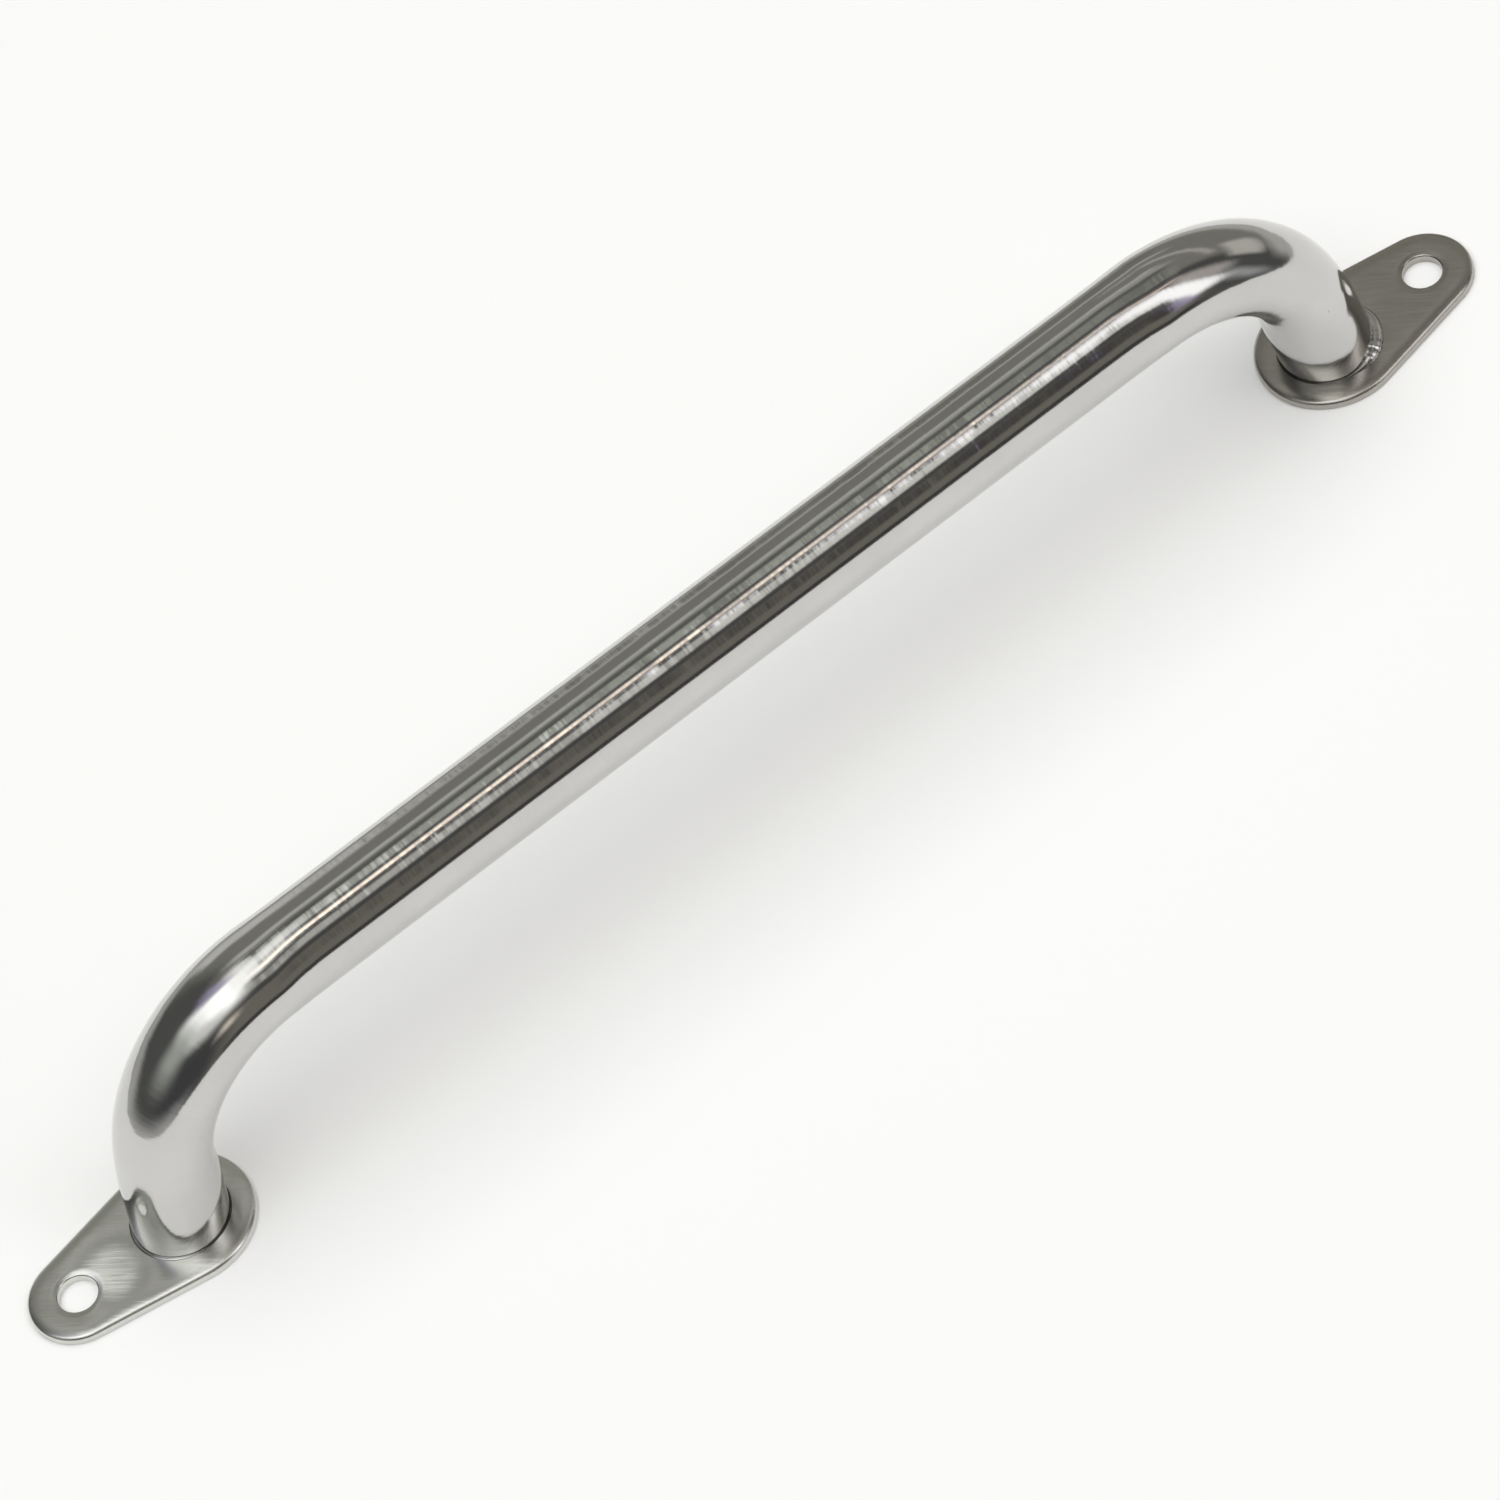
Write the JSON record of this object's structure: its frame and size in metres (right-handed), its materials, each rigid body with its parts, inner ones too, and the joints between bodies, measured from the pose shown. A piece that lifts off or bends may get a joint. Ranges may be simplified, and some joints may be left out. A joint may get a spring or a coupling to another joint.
{
  "type": "grab rail",
  "caption": "Round tube grab rail with bent ends, welded through teardrop bolt-down flanges that lie flat in one plane.",
  "frame": {"origin": "on the plane of the flanges' backs, which is the surface it is bolted to, midway between the flanges", "axes": "+X along the rail, towards the right flange; +Z away from the surface it is bolted to, towards the rail"},
  "size_m": [0.4, 0.034, 0.065],
  "materials": {
    "polished_tube": "stainless steel polished almost to a mirror, with fine marks round the tube",
    "polished_flange": "stainless steel with a satin polish, bright on its rounded upper edges",
    "weld_metal": "stainless steel weld, polished over but still slightly lumpy"
  },
  "bodies": {
    "root": {"rail_tube": "polished_tube", "left_flange": "polished_flange", "right_flange": "polished_flange", "left_front_weld": "weld_metal", "right_front_weld": "weld_metal", "left_back_weld": "weld_metal", "right_back_weld": "weld_metal"}
  },
  "joints": []
}
